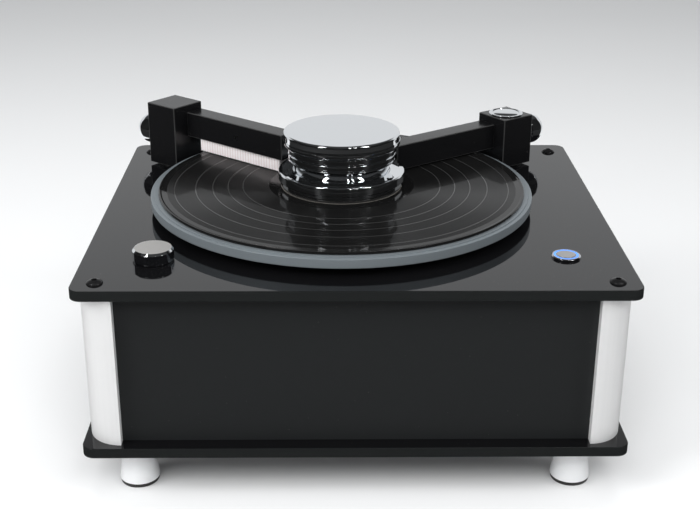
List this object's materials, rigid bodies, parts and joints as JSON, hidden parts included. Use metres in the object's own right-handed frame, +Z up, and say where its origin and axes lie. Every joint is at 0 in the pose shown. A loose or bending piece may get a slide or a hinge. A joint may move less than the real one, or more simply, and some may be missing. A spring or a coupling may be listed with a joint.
{
  "type": "record cleaning machine",
  "caption": "Tabletop record cleaning machine: cabinet on feet, driven platter with a record and a clamp, swinging brush arm, swinging suction arm, mode knob and power button.",
  "frame": {"origin": "on the surface that the feet stand on, under the centre of the cabinet's plates", "axes": "+X to the right along the cabinet's width, +Y to the rear, +Z up; the controls are at the front, towards -Y"},
  "size_m": [0.406, 0.342, 0.2341],
  "materials": {
    "black_gloss": "polished black plate",
    "black_satin": "satin black",
    "satin_aluminium": "fine satin anodised",
    "bright_aluminium": "bright turned",
    "machined_aluminium": "machined",
    "platter_metal": "frosted",
    "chrome": "mirror polished",
    "steel": "ground",
    "black_steel": "black oxide",
    "bronze": "sintered",
    "brass": "turned",
    "arm_black": "satin black anodised",
    "rubber": "matt",
    "black_plastic": "moulded",
    "grey_plastic": "moulded",
    "tank_plastic": "milky",
    "red_plastic": "moulded",
    "board": "lacquered",
    "blue_light": "lit diffuser",
    "vinyl": "grooved gloss",
    "bristle": "soft nylon",
    "velvet": "short pile"
  },
  "bodies": {
    "cabinet": {"top_plate": "black_gloss", "bottom_plate": "black_gloss", "front_panel": "black_satin", "rear_panel": "black_satin", "left_panel": "black_satin", "right_panel": "black_satin", "corner_columns": "satin_aluminium", "feet": "bright_aluminium", "foot_pads": "rubber", "plate_screws": "black_steel", "bearing_housing": "machined_aluminium", "bearing_bushes": "bronze", "thrust_washer": "bronze", "drive_motor": "steel", "motor_bracket": "steel", "drive_belt": "rubber", "turbine_housing": "grey_plastic", "turbine_mount": "rubber", "waste_tank": "tank_plastic", "tank_lid": "black_plastic", "suction_hose": "rubber", "turbine_hose": "rubber", "power_supply": "machined_aluminium", "control_board": "board", "mode_switch": "black_plastic", "button_bezel": "bright_aluminium", "led_ring": "blue_light", "mains_inlet": "black_plastic", "switch_housing": "black_plastic", "drain_valve": "brass", "pivot_sockets": "machined_aluminium", "pivot_bushes": "bronze"},
    "platter": {"platter": "platter_metal", "spindle": "steel", "platter_pulley": "machined_aluminium", "record": "vinyl"},
    "motor_rotor": {"motor_shaft": "steel", "motor_pulley": "machined_aluminium"},
    "impeller": {"turbine_impeller": "machined_aluminium"},
    "clamp": {"clamp_seal": "rubber", "clamp_base": "chrome", "clamp_grip": "chrome"},
    "brush_lift_shaft": {"brush_pivot": "steel"},
    "brush_arm": {"brush_tower": "arm_black", "brush_beam": "arm_black", "brush_back": "black_plastic", "brush_bristles": "bristle", "brush_set_screw": "steel", "brush_knob": "chrome"},
    "suction_lift_shaft": {"suction_pivot": "steel"},
    "suction_arm": {"suction_tower": "arm_black", "suction_beam": "arm_black", "suction_lips": "velvet", "suction_cap": "chrome", "suction_knob": "chrome"},
    "knob": {"mode_knob": "chrome", "knob_shaft": "steel"},
    "button": {"button_cap": "bright_aluminium"},
    "rocker": {"mains_rocker": "black_plastic"},
    "lever": {"drain_lever": "red_plastic"}
  },
  "joints": [
    {"name": "platter_spin", "type": "hinge", "parent": "cabinet", "child": "platter", "pos_m": [-0.0099, 0.0097, 0.1775], "axis": [0, 0, 1], "continuous": true},
    {"name": "motor_spin", "type": "hinge", "parent": "cabinet", "child": "motor_rotor", "pos_m": [0.0751, -0.0453, 0.102], "axis": [0, 0, 1], "continuous": true},
    {"name": "impeller_spin", "type": "hinge", "parent": "cabinet", "child": "impeller", "pos_m": [-0.1099, -0.0603, 0.09], "axis": [0, 0, 1], "continuous": true},
    {"name": "clamp_lift", "type": "slide", "parent": "platter", "child": "clamp", "axis": [0, 0, 1], "range_m": [0, 0.06]},
    {"name": "brush_lift", "type": "slide", "parent": "cabinet", "child": "brush_lift_shaft", "axis": [0, 0, 1], "range_m": [0, 0.006]},
    {"name": "brush_swing", "type": "hinge", "parent": "brush_lift_shaft", "child": "brush_arm", "pos_m": [-0.1592, 0.1173, 0.173], "axis": [0, 0, 1], "range_deg": [-65, 0]},
    {"name": "suction_lift", "type": "slide", "parent": "cabinet", "child": "suction_lift_shaft", "axis": [0, 0, 1], "range_m": [0, 0.006]},
    {"name": "suction_swing", "type": "hinge", "parent": "suction_lift_shaft", "child": "suction_arm", "pos_m": [0.1394, 0.1173, 0.173], "axis": [0, 0, 1], "range_deg": [0, 65]},
    {"name": "mode_turn", "type": "hinge", "parent": "cabinet", "child": "knob", "pos_m": [-0.15, -0.1132, 0.171], "axis": [0, 0, 1], "range_deg": [-45, 45]},
    {"name": "button_push", "type": "slide", "parent": "cabinet", "child": "button", "axis": [0, 0, -1], "range_m": [0, 0.0015], "stiffness_N_per_m": 300, "springref_m": -0.002},
    {"name": "rocker_tilt", "type": "hinge", "parent": "cabinet", "child": "rocker", "pos_m": [-0.087, 0.1485, 0.112], "axis": [1, 0, 0], "range_deg": [-20, 0]},
    {"name": "lever_turn", "type": "hinge", "parent": "cabinet", "child": "lever", "pos_m": [0.11, 0.156, 0.074], "axis": [0, 0, 1], "range_deg": [0, 90]}
  ],
  "couplings": [
    {"joint": "motor_spin", "follows": "platter_spin", "ratio": 3.8037}
  ]
}
